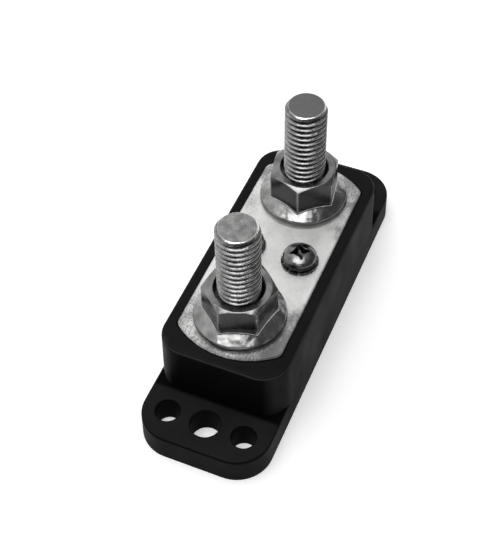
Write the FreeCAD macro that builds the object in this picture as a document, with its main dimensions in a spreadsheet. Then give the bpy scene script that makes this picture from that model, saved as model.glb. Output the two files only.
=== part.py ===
import FreeCAD, Part
import math
import os
import Sketcher
from FreeCAD import Placement, Rotation, Vector

# Two-stud bus bar: a moulded base with two mounting ears, a plated bar let into its top,
# two bolts held head-down in the base as studs, a flange nut on each stud, and two pan-head
# terminal screws with tooth lock washers in the middle of the bar.
#
# Frame: X runs along the bar, Y across it, Z up. The origin is the middle of the underside,
# in the plane of the surface that the base is screwed to.

# Name, size in millimetres or degrees, and what the size is.
DIMENSIONS = [
    ("base_length", 97.0, "over both ears, at the underside"),
    ("base_width", 31.7, "across the underside"),
    ("base_draft", 1.3, "mould draft of every outer wall, degrees"),
    ("ear_thickness", 7.2, "underside to the top of the ears"),
    ("ear_corner_radius", 8.6, "plan corners of the ears"),
    ("ear_edge_round", 0.7, "rounding along the top edge of the ears"),
    ("ear_length", 13.6, "end of an ear to the raised block, measured at the underside"),
    ("block_height", 21.5, "underside to the rim round the bar"),
    ("block_corner_radius", 6.9, "plan corners of the raised block"),
    ("rim_round", 0.9, "rounding along the outer rim"),
    ("recess_depth", 3.55, "rim down to the floor that the bar lies on"),
    ("recess_corner_round", 1.1, "plan corners of that recess"),
    ("small_hole_diameter", 5.75, "outer mounting holes"),
    ("small_hole_margin", 6.45, "outer holes' axes in from the base's sides"),
    ("middle_hole_diameter", 7.1, "middle mounting hole of each ear"),
    ("hole_row_margin", 7.5, "each ear's row of holes in from the base's end"),
    ("core_wall", 3.2, "wall left round the moulding's cored cells"),
    ("core_rib", 2.0, "ribs between the cored cells"),
    ("core_spine_offset", 4.4, "the two lengthwise ribs, either side of the middle"),
    ("core_depth", 9.2, "cored cells, up from the underside"),
    ("boss_wall", 2.4, "wall left round each bolt head pocket"),
    ("core_corner_round", 0.6, "corners of the cored cells"),
    ("end_margin", 3.05, "block's end at the underside in to the bar's bowed end"),
    ("side_margin", 3.25, "base's side at the underside in to the bar's straight side"),
    ("bar_end_radius", 18.6, "plan radius of the bowed ends"),
    ("bar_thickness", 4.0, "plated bar"),
    ("bar_corner_round", 2.0, "plan corners of the bar"),
    ("bar_edge_break", 0.3, "broken edge round the top of the bar"),
    ("bar_gap", 0.3, "bar to the recess wall"),
    ("stud_spacing", 40.0, "between the stud axes"),
    ("stud_diameter", 9.9, "over the thread crests of an M10 bolt"),
    ("stud_length", 45.0, "from under the head to the tip"),
    ("stud_tip_diameter", 8.4, "flat end face inside the tip chamfer"),
    ("bolt_hole_gap", 0.3, "bolt shank to the holes in base and bar"),
    ("head_flats", 16.0, "across flats of the bolt head"),
    ("head_height", 6.4, "bolt head"),
    ("head_chamfer_drop", 0.9, "how far the head's end chamfer runs down its corners"),
    ("washer_face_diameter", 14.6, "raised bearing face under the bolt head"),
    ("washer_face_height", 0.4, "that face's height"),
    ("head_pocket_depth", 6.9, "underside up to the face that the head pulls against"),
    ("head_pocket_gap", 0.2, "bolt head flats to the pocket's flats"),
    ("nut_flats", 15.0, "across flats"),
    ("nut_height", 10.6, "seat to top face"),
    ("nut_top_diameter", 14.6, "flat circle left by the top chamfer"),
    ("nut_chamfer_angle", 30.0, "top chamfer below level, degrees"),
    ("nut_mouth_diameter", 11.8, "countersink at both ends of the bore"),
    ("nut_bore_gap", 0.05, "running gap between nut bore and stud"),
    ("flange_diameter", 21.4, "round flange of the nut"),
    ("flange_rim_height", 1.7, "upright rim of the flange"),
    ("flange_slope", 28.5, "top of the flange above level, degrees"),
    ("flange_rim_round", 0.4, "rounding of the rim's upper edge"),
    ("nut_turn_left", -10.7, "how far the left nut stands turned on its stud, degrees"),
    ("nut_turn_right", 10.4, "how far the right nut stands turned, degrees"),
    ("screw_spacing", 13.4, "between the terminal screws, across the bar"),
    ("screw_diameter", 4.0, "thread crests of the M4 terminal screws"),
    ("screw_length", 10.0, "under the head to the tip"),
    ("screw_tip_chamfer", 0.5, "at the tip"),
    ("screw_head_diameter", 8.1, "pan head"),
    ("screw_head_height", 3.0, "pan head at its crown"),
    ("screw_head_side", 1.5, "side of the pan head up to the crown's edge"),
    ("screw_head_round", 0.9, "rounding between side and crown"),
    ("screw_thread_gap", 0.05, "running gap between screw and tapped bar"),
    ("screw_well_diameter", 4.8, "blind well under the bar for the screw tip"),
    ("screw_well_depth", 7.2, "well, down from the recess floor"),
    ("drive_span", 4.4, "cross recess, over two opposite wings"),
    ("drive_wing_width", 1.1, "one wing at the mouth"),
    ("drive_depth", 1.9, "cross recess"),
    ("drive_foot_span", 2.0, "over two wings at the bottom of the recess"),
    ("drive_foot_width", 0.6, "one wing at the bottom"),
    ("drive_turn_front", 30.0, "how far the front screw stands turned, degrees"),
    ("drive_turn_back", 40.0, "how far the back screw stands turned, degrees"),
    ("lock_ring_width", 1.1, "plain ring of the lock washer"),
    ("lock_thickness", 0.5, "lock washer sheet"),
    ("lock_bore_gap", 0.15, "lock washer bore to the screw"),
    ("lock_diameter", 9.0, "over the teeth"),
    ("lock_tooth_width", 1.3, "one tooth"),
    ("lock_tooth_twist", 20.0, "how far each tooth is twisted, degrees"),
]
LOCK_TEETH = 10

doc = FreeCAD.newDocument("BusBar")


def make_sheet():
    """Lay the driving sizes out in a sheet: name, value and meaning on each row."""
    sheet = doc.addObject("Spreadsheet::Sheet", "Dimensions")
    for row, (name, value, meaning) in enumerate(DIMENSIONS, start=1):
        sheet.set(f"A{row}", name)
        sheet.set(f"B{row}", str(value))
        sheet.set(f"C{row}", meaning)
        sheet.setAlias(f"B{row}", name)
    doc.recompute()
    return sheet


SHEET = make_sheet()


def dim(name):
    """The expression that reads one size from the sheet."""
    return f"Dimensions.{name}"


def number(expression):
    """The present value of an expression."""
    return float(SHEET.evalExpression(expression))


# Lengths, heights and reaches that follow from the driving sizes.
BLOCK_LENGTH = f"({dim('base_length')} - 2 * {dim('ear_length')})"
BAR_LENGTH = f"({BLOCK_LENGTH} - 2 * {dim('end_margin')})"
BAR_WIDTH = f"({dim('base_width')} - 2 * {dim('side_margin')})"
HOLE_ROW_X = f"({dim('base_length')} / 2 - {dim('hole_row_margin')})"
SMALL_HOLE_Y = f"({dim('base_width')} / 2 - {dim('small_hole_margin')})"
RECESS_FLOOR = f"({dim('block_height')} - {dim('recess_depth')})"
BAR_TOP = f"({RECESS_FLOOR} + {dim('bar_thickness')})"
STUD_X = f"({dim('stud_spacing')} / 2)"
STUD_RADIUS = f"({dim('stud_diameter')} / 2)"
BOLT_HOLE_RADIUS = f"({STUD_RADIUS} + {dim('bolt_hole_gap')})"
POCKET_FLATS = f"({dim('head_flats')} + 2 * {dim('head_pocket_gap')})"
BOSS_FLATS = f"({POCKET_FLATS} + 2 * {dim('boss_wall')})"
SCREW_Y = f"({dim('screw_spacing')} / 2)"
SCREW_RADIUS = f"({dim('screw_diameter')} / 2)"
LOCK_HEIGHT = (
    f"({dim('lock_tooth_width')} * sin({dim('lock_tooth_twist')})"
    f" + {dim('lock_thickness')} * cos({dim('lock_tooth_twist')}))"
)


def new_body(label):
    body = doc.addObject("PartDesign::Body", label)
    body.Label = label
    return body


def sketch_on(body, name, role, lift=None):
    """A sketch on one of the body's own origin planes, moved along its normal by lift."""
    plane = next(item for item in body.Origin.OriginFeatures if item.Role == role)
    sketch = body.newObject("Sketcher::SketchObject", name)
    sketch.AttachmentSupport = [(plane, "")]
    sketch.MapMode = "FlatFace"
    if lift is not None:
        sketch.setExpression("AttachmentOffset.Base.z", lift)
    return sketch


def bind(sketch, constraint, expression=None):
    """Add a constraint and tie its value to an expression."""
    index = sketch.addConstraint(constraint)
    if expression is not None:
        sketch.setExpression(f"Constraints[{index}]", expression)
    return index


ORIGIN = -1
X_AXIS = -1
Y_AXIS = -2


def pin_point(sketch, item, end, place):
    """Hold one end of an item at a place given as two expressions."""
    for expression, axis, kind in zip(place, (Y_AXIS, X_AXIS), ("DistanceX", "DistanceY")):
        if expression == "0":
            bind(sketch, Sketcher.Constraint("PointOnObject", item, end, axis))
        else:
            value = number(expression)
            bind(sketch, Sketcher.Constraint(kind, ORIGIN, 1, item, end, value), expression)


def draw_outline(sketch, corners):
    """Draw a closed outline through corners, each (x, y) or (x, y, radius).

    A radius bows the stretch from that corner to the next into an arc, with the outline's
    left-hand side inside it, so that an outline drawn anticlockwise bulges outwards.
    """
    places = [(number(corner[0]), number(corner[1])) for corner in corners]
    items = []
    for index, corner in enumerate(corners):
        start = Vector(*places[index], 0)
        end = Vector(*places[(index + 1) % len(corners)], 0)
        if len(corner) == 2:
            items.append(sketch.addGeometry(Part.LineSegment(start, end), False))
        else:
            items.append(sketch.addGeometry(outward_arc(start, end, number(corner[2])), False))
    for index, item in enumerate(items):
        following = items[(index + 1) % len(items)]
        bind(sketch, Sketcher.Constraint("Coincident", item, 2, following, 1))
    for item, corner in zip(items, corners):
        pin_point(sketch, item, 1, corner[:2])
        if len(corner) == 3:
            radius = number(corner[2])
            bind(sketch, Sketcher.Constraint("Radius", item, radius), corner[2])


def outward_arc(start, end, radius):
    """The shorter anticlockwise arc of a given radius from start to end."""
    chord = end - start
    middle = (start + end) / 2
    reach = math.sqrt(radius ** 2 - (chord.Length / 2) ** 2)
    inward = Vector(-chord.y, chord.x, 0).normalize()
    centre = middle + inward * reach
    first = math.atan2(start.y - centre.y, start.x - centre.x)
    last = math.atan2(end.y - centre.y, end.x - centre.x)
    circle = Part.Circle(centre, Vector(0, 0, 1), radius)
    return Part.ArcOfCircle(circle, first, last)


def draw_circle(sketch, x, y, radius):
    centre = Vector(number(x), number(y), 0)
    item = sketch.addGeometry(Part.Circle(centre, Vector(0, 0, 1), number(radius)), False)
    pin_point(sketch, item, 3, (x, y))
    bind(sketch, Sketcher.Constraint("Radius", item, number(radius)), radius)


def draw_rounded_rectangle(sketch, length, width, radius):
    """A rectangle about the origin whose corners are arcs that run on tangent to its sides."""
    near_x = f"({length} / 2 - {radius})"
    far_x = f"({length} / 2)"
    near_y = f"({width} / 2 - {radius})"
    far_y = f"({width} / 2)"
    draw_outline(sketch, [
        (f"-{near_x}", f"-{far_y}"),
        (near_x, f"-{far_y}", radius),
        (far_x, f"-{near_y}"),
        (far_x, near_y, radius),
        (near_x, far_y),
        (f"-{near_x}", far_y, radius),
        (f"-{far_x}", near_y),
        (f"-{far_x}", f"-{near_y}", radius),
    ])


def draw_bar_outline(sketch, length, width, end_radius):
    """Two straight sides joined by a bowed arc at each end."""
    side_y = f"({width} / 2)"
    corner_x = f"({length} / 2 - {end_radius} + sqrt({end_radius} ^ 2 - {side_y} ^ 2))"
    draw_outline(sketch, [
        (f"-{corner_x}", f"-{side_y}"),
        (corner_x, f"-{side_y}", end_radius),
        (corner_x, side_y),
        (f"-{corner_x}", side_y, end_radius),
    ])


def draw_hexagon(sketch, flats, centre_x="0"):
    """A hexagon with two flats square to Y, about a centre on the X axis."""
    corner = f"({flats} / sqrt(3))"
    half_flats = f"({flats} / 2)"
    places = [
        (corner, "0"),
        (f"({corner} / 2)", half_flats),
        (f"(-{corner} / 2)", half_flats),
        (f"(-{corner})", "0"),
        (f"(-{corner} / 2)", f"-{half_flats}"),
        (f"({corner} / 2)", f"-{half_flats}"),
    ]
    draw_outline(sketch, [(f"({centre_x} + {x})", y) for x, y in places])


def pad(body, name, sketch, length, taper=None):
    feature = body.newObject("PartDesign::Pad", name)
    feature.Profile = sketch
    feature.setExpression("Length", length)
    if taper is not None:
        feature.setExpression("TaperAngle", taper)
    doc.recompute()
    return feature


def pocket(body, name, sketch, depth, upwards=False):
    """Cut the sketch's outline into the body, and make sure that it did cut."""
    before = body.Shape.Volume
    feature = body.newObject("PartDesign::Pocket", name)
    feature.Profile = sketch
    feature.setExpression("Length", depth)
    feature.Reversed = upwards
    doc.recompute()
    if not body.Shape.Volume < before - 1e-6:
        raise RuntimeError(f"{name} cuts nothing")
    return feature


def revolve(body, name, sketch, kind="PartDesign::Revolution"):
    """Turn a profile drawn beside the sketch's upright axis once round that axis."""
    feature = body.newObject(kind, name)
    feature.Profile = sketch
    feature.ReferenceAxis = (sketch, ["V_Axis"])
    feature.Angle = 360
    doc.recompute()
    return feature


def edges_where(feature, test):
    """Names of the edges whose middle point passes a test."""
    names = []
    for index, edge in enumerate(feature.Shape.Edges, start=1):
        middle = edge.valueAt((edge.FirstParameter + edge.LastParameter) / 2)
        if test(edge, middle):
            names.append(f"Edge{index}")
    return names


def soften(body, name, feature, test, size, kind="PartDesign::Fillet"):
    """Round or chamfer the edges of a feature that pass a test."""
    softened = body.newObject(kind, name)
    softened.Base = (feature, edges_where(feature, test))
    softened.setExpression("Radius" if kind == "PartDesign::Fillet" else "Size", size)
    doc.recompute()
    return softened


def mirror(body, name, features, role):
    """Repeat features on the other side of one of the body's origin planes."""
    plane = next(item for item in body.Origin.OriginFeatures if item.Role == role)
    copied = body.newObject("PartDesign::Mirrored", name)
    copied.Originals = features
    copied.MirrorPlane = (plane, [""])
    body.Tip = copied
    doc.recompute()
    return copied


def is_upright(edge):
    """Whether an edge is a straight line parallel to Z."""
    ends = [vertex.Point for vertex in edge.Vertexes]
    if len(ends) != 2:
        return False
    span = ends[1] - ends[0]
    return abs(span.x) < 1e-5 and abs(span.y) < 1e-5


def place(body, x="0", y="0", z="0", turn=None):
    """Stand a body on its seat, turned about its own upright axis."""
    angle = 0 if turn is None else number(turn)
    body.Placement = Placement(Vector(0, 0, 0), Rotation(Vector(0, 0, 1), angle))
    for axis, expression in zip("xyz", (x, y, z)):
        if expression != "0":
            body.setExpression(f"Placement.Base.{axis}", expression)
    if turn is not None:
        body.setExpression("Placement.Rotation.Angle", turn)


def make_base():
    """Moulded base: drafted foot and block, bar recess, bolt pockets and cored underside."""
    body = new_body("base")

    foot_sketch = sketch_on(body, "FootOutline", "XY_Plane")
    draw_rounded_rectangle(foot_sketch, dim("base_length"), dim("base_width"), dim("ear_corner_radius"))
    foot = pad(body, "Foot", foot_sketch, dim("ear_thickness"), f"-{dim('base_draft')}")
    ear_top = number(dim("ear_thickness"))
    soften(body, "EarEdge", foot, lambda edge, middle: abs(middle.z - ear_top) < 1e-4, dim("ear_edge_round"))

    block_sketch = sketch_on(body, "BlockOutline", "XY_Plane")
    draw_rounded_rectangle(block_sketch, BLOCK_LENGTH, dim("base_width"), dim("block_corner_radius"))
    block = pad(body, "Block", block_sketch, dim("block_height"), f"-{dim('base_draft')}")
    rim = number(dim("block_height"))
    soften(body, "RimEdge", block, lambda edge, middle: abs(middle.z - rim) < 1e-4, dim("rim_round"))

    core_underside(body)
    cut_bar_recess(body)
    cut_screw_wells(body)
    cut_bolt_seats(body)
    cut_mounting_holes(body)
    return body


def cut_bar_recess(body):
    """Sink the bar's outline, enlarged by its gap, into the top of the block."""
    sketch = sketch_on(body, "RecessOutline", "XY_Plane", dim("block_height"))
    gap = dim("bar_gap")
    draw_bar_outline(
        sketch,
        f"({BAR_LENGTH} + 2 * {gap})",
        f"({BAR_WIDTH} + 2 * {gap})",
        f"({dim('bar_end_radius')} + {gap})",
    )
    recess = pocket(body, "BarRecess", sketch, dim("recess_depth"))
    floor = number(RECESS_FLOOR)
    soften(
        body, "RecessCorners", recess,
        lambda edge, middle: is_upright(edge) and middle.z > floor,
        dim("recess_corner_round"),
    )


def cut_screw_wells(body):
    """Blind wells in the recess floor that the terminal screws' tips run down into."""
    sketch = sketch_on(body, "ScrewWellCircles", "XY_Plane", RECESS_FLOOR)
    for side in ("", "-"):
        draw_circle(sketch, "0", f"{side}{SCREW_Y}", f"({dim('screw_well_diameter')} / 2)")
    pocket(body, "ScrewWells", sketch, dim("screw_well_depth"))


def cut_bolt_seats(body):
    """Six-sided pockets that stop the bolt heads turning, and the bolts' own holes."""
    pocket_sketch = sketch_on(body, "HeadPocketOutline", "XY_Plane")
    draw_hexagon(pocket_sketch, POCKET_FLATS, STUD_X)
    head_pocket = pocket(body, "HeadPocket", pocket_sketch, dim("head_pocket_depth"), upwards=True)
    mirror(body, "HeadPockets", [head_pocket], "YZ_Plane")

    hole_sketch = sketch_on(body, "BoltHoleCircles", "XY_Plane")
    for side in ("", "-"):
        draw_circle(hole_sketch, f"{side}{STUD_X}", "0", BOLT_HOLE_RADIUS)
    pocket(body, "BoltHoles", hole_sketch, dim("block_height"), upwards=True)


def cut_mounting_holes(body):
    """Three holes in a row across one ear, repeated in the other."""
    sketch = sketch_on(body, "MountingHoleCircles", "XY_Plane")
    draw_circle(sketch, HOLE_ROW_X, "0", f"({dim('middle_hole_diameter')} / 2)")
    for side in ("", "-"):
        draw_circle(sketch, HOLE_ROW_X, f"{side}{SMALL_HOLE_Y}", f"({dim('small_hole_diameter')} / 2)")
    holes = pocket(body, "MountingHoles", sketch, dim("ear_thickness"), upwards=True)
    mirror(body, "MountingHolesBothEars", [holes], "YZ_Plane")


def core_underside(body):
    """Cored cells that hollow the block between the bolt bosses, with ribs left between."""
    sketch = sketch_on(body, "CoreCellOutlines", "XY_Plane")
    cross_rib = f"({dim('core_rib')} / 2)"
    spine = dim("core_spine_offset")
    spine_inside = f"({spine} - {dim('core_rib')} / 2)"
    spine_outside = f"({spine} + {dim('core_rib')} / 2)"
    wall = f"({dim('base_width')} / 2 - {dim('core_wall')})"
    boss_corner = f"({STUD_X} - {BOSS_FLATS} / sqrt(3))"
    for side in ("", "-"):
        draw_outline(sketch, [
            (f"{side}{cross_rib}", f"-{spine_inside}"),
            (f"{side}({boss_corner} + {spine_inside} / sqrt(3))", f"-{spine_inside}"),
            (f"{side}{boss_corner}", "0"),
            (f"{side}({boss_corner} + {spine_inside} / sqrt(3))", spine_inside),
            (f"{side}{cross_rib}", spine_inside),
        ])
        for across in ("", "-"):
            draw_outline(sketch, [
                (f"{side}{cross_rib}", f"{across}{spine_outside}"),
                (f"{side}({boss_corner} + {spine_outside} / sqrt(3))", f"{across}{spine_outside}"),
                (f"{side}({boss_corner} + {wall} / sqrt(3))", f"{across}{wall}"),
                (f"{side}{cross_rib}", f"{across}{wall}"),
            ])
    cells = pocket(body, "CoreCells", sketch, dim("core_depth"), upwards=True)
    middle_height = number(dim("core_depth")) / 2
    soften(
        body, "CoreCellCorners", cells,
        lambda edge, middle: is_upright(edge) and abs(middle.z - middle_height) < 1e-4,
        dim("core_corner_round"),
    )


def make_bar():
    """Plated bar: straight sides, bowed ends, two bolt holes and two tapped holes."""
    body = new_body("bus_plate")
    outline = sketch_on(body, "BarOutline", "XY_Plane")
    draw_bar_outline(outline, BAR_LENGTH, BAR_WIDTH, dim("bar_end_radius"))
    slab = pad(body, "Slab", outline, dim("bar_thickness"))
    rounded = soften(
        body, "PlanCorners", slab, lambda edge, middle: is_upright(edge), dim("bar_corner_round"),
    )
    top = number(dim("bar_thickness"))
    soften(
        body, "TopEdge", rounded, lambda edge, middle: abs(middle.z - top) < 1e-4,
        dim("bar_edge_break"), kind="PartDesign::Chamfer",
    )
    holes = sketch_on(body, "BarHoleCircles", "XY_Plane")
    for side in ("", "-"):
        draw_circle(holes, f"{side}{STUD_X}", "0", BOLT_HOLE_RADIUS)
        draw_circle(holes, "0", f"{side}{SCREW_Y}", f"({SCREW_RADIUS} + {dim('screw_thread_gap')})")
    pocket(body, "BarHoles", holes, dim("bar_thickness"), upwards=True)
    place(body, z=RECESS_FLOOR)
    return body


def make_stud(label, side):
    """Bolt that serves as a stud: six-sided head below, bearing face, shank and chamfered tip."""
    body = new_body(label)
    head_sketch = sketch_on(body, "HeadOutline", "XY_Plane", f"-{dim('head_height')}")
    draw_hexagon(head_sketch, dim("head_flats"))
    face = dim("washer_face_height")
    pad(body, "Head", head_sketch, f"({dim('head_height')} - {face})")

    corner = f"({dim('head_flats')} / sqrt(3) + 1)"
    level = f"({dim('head_flats')} / 2 - 0.2)"
    bottom = f"-{dim('head_height')}"
    chamfer = sketch_on(body, "HeadChamferProfile", "XZ_Plane")
    draw_outline(chamfer, [
        (level, bottom),
        (corner, bottom),
        (corner, f"({bottom} + {dim('head_chamfer_drop')})"),
    ])
    revolve(body, "HeadChamfer", chamfer, "PartDesign::Groove")

    tip_radius = f"({dim('stud_tip_diameter')} / 2)"
    shank = sketch_on(body, "ShankProfile", "XZ_Plane")
    draw_outline(shank, [
        ("0", f"-{face}"),
        (f"({dim('washer_face_diameter')} / 2)", f"-{face}"),
        (f"({dim('washer_face_diameter')} / 2)", "0"),
        (STUD_RADIUS, "0"),
        (STUD_RADIUS, f"({dim('stud_length')} - {STUD_RADIUS} + {tip_radius})"),
        (tip_radius, dim("stud_length")),
        ("0", dim("stud_length")),
    ])
    revolve(body, "Shank", shank)
    place(body, x=f"{side}{STUD_X}", z=dim("head_pocket_depth"))
    return body


def make_nut(label, side, turn):
    """Flange nut: hexagon with a chamfered top on a sloping round flange, bored through."""
    body = new_body(label)
    hexagon = sketch_on(body, "NutOutline", "XY_Plane")
    draw_hexagon(hexagon, dim("nut_flats"))
    pad(body, "Hexagon", hexagon, dim("nut_height"))

    top_radius = f"({dim('nut_top_diameter')} / 2)"
    beyond = f"({dim('nut_flats')} / sqrt(3) + 1)"
    drop = f"(({beyond} - {top_radius}) * tan({dim('nut_chamfer_angle')}))"
    chamfer = sketch_on(body, "TopChamferProfile", "XZ_Plane")
    draw_outline(chamfer, [
        (top_radius, dim("nut_height")),
        (beyond, f"({dim('nut_height')} - {drop})"),
        (beyond, dim("nut_height")),
    ])
    revolve(body, "TopChamfer", chamfer, "PartDesign::Groove")

    rim = f"({dim('flange_diameter')} / 2)"
    bore = f"({STUD_RADIUS} + {dim('nut_bore_gap')})"
    rise = f"(({rim} - {bore}) * tan({dim('flange_slope')}))"
    flange = sketch_on(body, "FlangeProfile", "XZ_Plane")
    draw_outline(flange, [
        (bore, "0"),
        (rim, "0"),
        (rim, dim("flange_rim_height")),
        (bore, f"({dim('flange_rim_height')} + {rise})"),
    ])
    disc = revolve(body, "Flange", flange)
    rim_radius = number(rim)
    rim_top = number(dim("flange_rim_height"))
    soften(
        body, "RimEdge", disc,
        lambda edge, middle: abs(middle.z - rim_top) < 1e-4
        and abs(math.hypot(middle.x, middle.y) - rim_radius) < 1e-4,
        dim("flange_rim_round"),
    )

    mouth = f"({dim('nut_mouth_diameter')} / 2)"
    bore_profile = sketch_on(body, "BoreProfile", "XZ_Plane")
    draw_outline(bore_profile, [
        ("0", "0"),
        (mouth, "0"),
        (bore, f"({mouth} - {bore})"),
        (bore, f"({dim('nut_height')} - {mouth} + {bore})"),
        (mouth, dim("nut_height")),
        ("0", dim("nut_height")),
    ])
    revolve(body, "Bore", bore_profile, "PartDesign::Groove")
    place(body, x=f"{side}{STUD_X}", z=BAR_TOP, turn=turn)
    return body


def draw_cross(sketch, span, width):
    """A cross of two equal bars about the origin."""
    reach = f"({span} / 2)"
    half = f"({width} / 2)"
    corners = []
    for x_sign, y_sign, x_first in (("", "-", True), ("", "", False), ("-", "", True), ("-", "-", False)):
        outer = (f"{x_sign}{reach}", f"{y_sign}{half}")
        inner = (f"{x_sign}{half}", f"{y_sign}{half}")
        upper = (f"{x_sign}{half}", f"{y_sign}{reach}")
        corners += [upper, inner, outer] if x_first else [outer, inner, upper]
    draw_outline(sketch, corners)


def make_terminal_screw(label, side, turn):
    """Pan-head screw with a crowned head, tapered cross recess and chamfered tip."""
    body = new_body(label)
    head_radius = f"({dim('screw_head_diameter')} / 2)"
    crown_rise = f"({dim('screw_head_height')} - {dim('screw_head_side')})"
    crown_radius = f"(({head_radius} ^ 2 + {crown_rise} ^ 2) / (2 * {crown_rise}))"
    profile = sketch_on(body, "ScrewProfile", "XZ_Plane")
    draw_outline(profile, [
        ("0", f"-{dim('screw_length')}"),
        (f"({SCREW_RADIUS} - {dim('screw_tip_chamfer')})", f"-{dim('screw_length')}"),
        (SCREW_RADIUS, f"({dim('screw_tip_chamfer')} - {dim('screw_length')})"),
        (SCREW_RADIUS, "0"),
        (head_radius, "0"),
        (head_radius, dim("screw_head_side"), crown_radius),
        ("0", dim("screw_head_height")),
    ])
    turned = revolve(body, "Turned", profile)
    side_top = number(dim("screw_head_side"))
    soften(
        body, "HeadEdge", turned, lambda edge, middle: abs(middle.z - side_top) < 1e-4,
        dim("screw_head_round"),
    )

    mouth = sketch_on(body, "DriveMouth", "XY_Plane", dim("screw_head_height"))
    draw_cross(mouth, dim("drive_span"), dim("drive_wing_width"))
    foot = sketch_on(body, "DriveFoot", "XY_Plane", f"({dim('screw_head_height')} - {dim('drive_depth')})")
    draw_cross(foot, dim("drive_foot_span"), dim("drive_foot_width"))
    drive = body.newObject("PartDesign::SubtractiveLoft", "Drive")
    drive.Profile = mouth
    drive.Sections = [foot]
    drive.Ruled = True
    doc.recompute()
    place(body, y=f"{side}{SCREW_Y}", z=f"({BAR_TOP} + {LOCK_HEIGHT})", turn=turn)
    return body


def make_lock_washer(label, side):
    """External-tooth lock washer: a plain ring whose teeth each stand twisted out of its plane."""
    body = new_body(label)
    bore = f"({SCREW_RADIUS} + {dim('lock_bore_gap')})"
    root = f"({bore} + {dim('lock_ring_width')})"
    ring_sketch = sketch_on(body, "RingCircles", "XY_Plane", f"(({LOCK_HEIGHT} - {dim('lock_thickness')}) / 2)")
    draw_circle(ring_sketch, "0", "0", bore)
    draw_circle(ring_sketch, "0", "0", root)
    pad(body, "Ring", ring_sketch, dim("lock_thickness"))

    overlap = f"({root} - {dim('lock_thickness')} / 2)"
    section = sketch_on(body, "ToothSection", "YZ_Plane", overlap)
    draw_twisted_section(section, dim("lock_tooth_twist"))
    tooth = pad(body, "Tooth", section, f"({dim('lock_diameter')} / 2 - {overlap})")
    teeth = body.newObject("PartDesign::PolarPattern", "Teeth")
    teeth.Originals = [tooth]
    teeth.Axis = (ring_sketch, ["N_Axis"])
    teeth.Angle = 360
    teeth.Occurrences = LOCK_TEETH
    body.Tip = teeth
    doc.recompute()
    place(body, y=f"{side}{SCREW_Y}", z=BAR_TOP)
    return body


def draw_twisted_section(sketch, twist):
    """A tooth's cross-section, turned about the middle of the washer's height."""
    half_width = f"({dim('lock_tooth_width')} / 2)"
    half_sheet = f"({dim('lock_thickness')} / 2)"
    middle = f"({LOCK_HEIGHT} / 2)"
    corners = []
    for across, up in (("-", "-"), ("", "-"), ("", ""), ("-", "")):
        x = f"({across}{half_width} * cos({twist}) - ({up}{half_sheet}) * sin({twist}))"
        y = f"({middle} + ({across}{half_width}) * sin({twist}) + ({up}{half_sheet}) * cos({twist}))"
        corners.append((x, y))
    draw_outline(sketch, corners)


def build_parts():
    """Every separate piece, each in a body of its own that is named after it."""
    return [
        make_base(),
        make_bar(),
        make_stud("stud_left", "-"),
        make_stud("stud_right", ""),
        make_nut("flange_nut_left", "-", dim("nut_turn_left")),
        make_nut("flange_nut_right", "", dim("nut_turn_right")),
        make_terminal_screw("terminal_screw_front", "-", dim("drive_turn_front")),
        make_terminal_screw("terminal_screw_back", "", dim("drive_turn_back")),
        make_lock_washer("lock_washer_front", "-"),
        make_lock_washer("lock_washer_back", ""),
    ]


def check_document(parts):
    """Stop if any feature failed or any piece is not one valid solid."""
    for item in doc.Objects:
        faults = [state for state in item.State if state in ("Invalid", "Error")]
        if faults:
            raise RuntimeError(f"{item.Name} is {faults[0]}: {item.getStatusString()}")
    for part in parts:
        shape = part.Shape
        if shape.isNull() or not shape.isValid() or len(shape.Solids) != 1:
            raise RuntimeError(f"{part.Label} is not one valid solid")


def main():
    parts = build_parts()
    doc.recompute()
    check_document(parts)
    os.makedirs("parts", exist_ok=True)
    for part in parts:
        part.Shape.exportStep(f"parts/{part.Label}.step")
        box = part.Shape.BoundBox
        print(
            f"{part.Label}: volume {part.Shape.Volume:.1f} mm3, "
            f"x {box.XMin:.2f} to {box.XMax:.2f}, y {box.YMin:.2f} to {box.YMax:.2f}, "
            f"z {box.ZMin:.2f} to {box.ZMax:.2f}"
        )


main()
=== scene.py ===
import math

import bmesh
import bpy
import numpy as np
from mathutils import Euler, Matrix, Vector


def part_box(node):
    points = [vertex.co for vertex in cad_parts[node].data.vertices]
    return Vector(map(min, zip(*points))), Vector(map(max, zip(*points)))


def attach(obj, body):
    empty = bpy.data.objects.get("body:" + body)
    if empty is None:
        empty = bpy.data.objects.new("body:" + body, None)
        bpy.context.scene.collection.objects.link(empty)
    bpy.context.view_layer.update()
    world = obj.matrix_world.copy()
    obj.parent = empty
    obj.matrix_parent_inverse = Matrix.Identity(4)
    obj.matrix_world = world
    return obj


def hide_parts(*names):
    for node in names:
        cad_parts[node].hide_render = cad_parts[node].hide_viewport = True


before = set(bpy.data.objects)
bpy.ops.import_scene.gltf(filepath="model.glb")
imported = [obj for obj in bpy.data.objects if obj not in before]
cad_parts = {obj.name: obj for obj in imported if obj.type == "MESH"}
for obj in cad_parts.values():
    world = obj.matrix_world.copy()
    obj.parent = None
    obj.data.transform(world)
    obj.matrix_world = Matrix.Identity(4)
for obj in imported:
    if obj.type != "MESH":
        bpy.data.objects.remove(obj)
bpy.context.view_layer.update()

# Lengths are in millimetres down to skin(), which puts them into metres.
MM = 0.001

# Threads: share of the pitch along one turn, and how deep the groove is there.
THREAD_STEPS = np.array([
    (0.000, 0.000), (0.045, 0.010), (0.085, 0.072), (0.160, 0.312), (0.260, 0.632),
    (0.355, 0.936), (0.420, 0.985), (0.500, 1.000), (0.580, 0.985), (0.645, 0.936),
    (0.740, 0.632), (0.840, 0.312), (0.915, 0.072), (0.955, 0.010)])
THREAD_DEPTH = 0.613

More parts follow.
